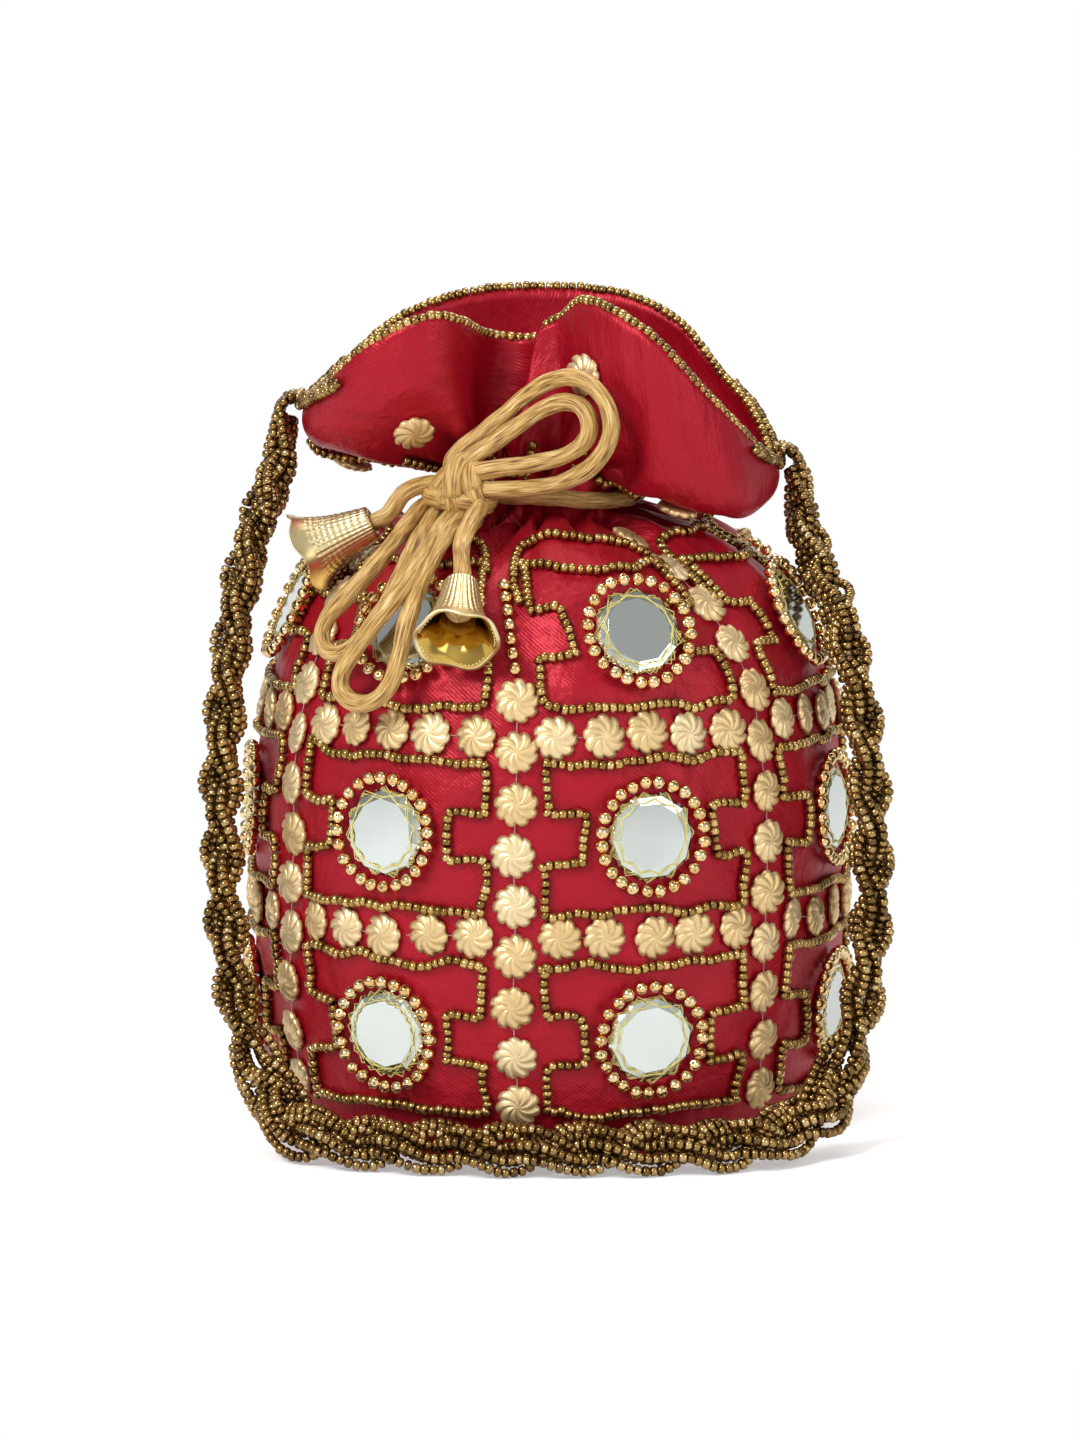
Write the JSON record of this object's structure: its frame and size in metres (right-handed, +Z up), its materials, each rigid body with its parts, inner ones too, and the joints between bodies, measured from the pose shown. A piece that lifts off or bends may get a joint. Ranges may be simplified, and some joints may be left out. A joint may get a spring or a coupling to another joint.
{
  "type": "drawstring pouch bag",
  "caption": "Round satin drawstring pouch bag with mirror and bead work, a gathered neck under a beaded frill, a cord bow with bells and a plaited bead handle.",
  "frame": {"origin": "centre of the base, on the surface the bag stands on", "axes": "+Z up, the front with the bow faces -Y, +X to the right of the front view"},
  "size_m": [0.1688, 0.1647, 0.2071],
  "materials": {
    "red_satin": "satin weave, slightly creased",
    "bronze_beads": "strings of small bronze metallic glass beads",
    "gold_beads": "bright metallic beads",
    "mirror": "silvered glass with a bevelled faceted edge",
    "gold_cord": "braided satin cord",
    "gold_bell": "bright gold, shiny inside"
  },
  "bodies": {
    "bag": {"satin_pouch": "red_satin", "base_panel": "red_satin", "rim_beading": "bronze_beads", "drawstring_waist": "gold_cord", "bow_knot": "gold_cord", "side_tail": "gold_cord", "front_tail": "gold_cord", "side_bell": "gold_bell", "front_bell": "gold_bell", "bow_loop_outer": "gold_cord", "bow_loop_inner": "gold_cord", "bow_loop_long": "gold_cord", "bow_loop_round": "gold_cord", "mirror_1_1": "mirror", "mirror_1_2": "mirror", "mirror_1_3": "mirror", "mirror_1_4": "mirror", "mirror_1_5": "mirror", "mirror_1_6": "mirror", "mirror_1_7": "mirror", "mirror_2_1": "mirror", "mirror_2_2": "mirror", "mirror_2_3": "mirror", "mirror_2_4": "mirror", "mirror_2_5": "mirror", "mirror_2_6": "mirror", "mirror_2_7": "mirror", "mirror_3_1": "mirror", "mirror_3_2": "mirror", "mirror_3_3": "mirror", "mirror_3_4": "mirror", "mirror_3_5": "mirror", "mirror_3_6": "mirror", "mirror_3_7": "mirror", "bead_ring_1_1": "gold_beads", "bead_ring_1_2": "gold_beads", "bead_ring_1_3": "gold_beads", "bead_ring_1_4": "gold_beads", "bead_ring_1_5": "gold_beads", "bead_ring_1_6": "gold_beads", "bead_ring_1_7": "gold_beads", "bead_ring_2_1": "gold_beads", "bead_ring_2_2": "gold_beads", "bead_ring_2_3": "gold_beads", "bead_ring_2_4": "gold_beads", "bead_ring_2_5": "gold_beads", "bead_ring_2_6": "gold_beads", "bead_ring_2_7": "gold_beads", "bead_ring_3_1": "gold_beads", "bead_ring_3_2": "gold_beads", "bead_ring_3_3": "gold_beads", "bead_ring_3_4": "gold_beads", "bead_ring_3_5": "gold_beads", "bead_ring_3_6": "gold_beads", "bead_ring_3_7": "gold_beads"},
    "handle": {"handle_ply_1": "bronze_beads", "handle_ply_2": "bronze_beads", "handle_ply_3": "bronze_beads", "handle_bunch_left": "bronze_beads", "handle_bunch_right": "bronze_beads"}
  },
  "joints": [
    {"name": "handle_swing", "type": "hinge", "parent": "bag", "child": "handle", "pos_m": [-0.06535, 0, 0.1781], "axis": [-0.9942, 0, 0.1077], "range_deg": [0, 300]}
  ]
}
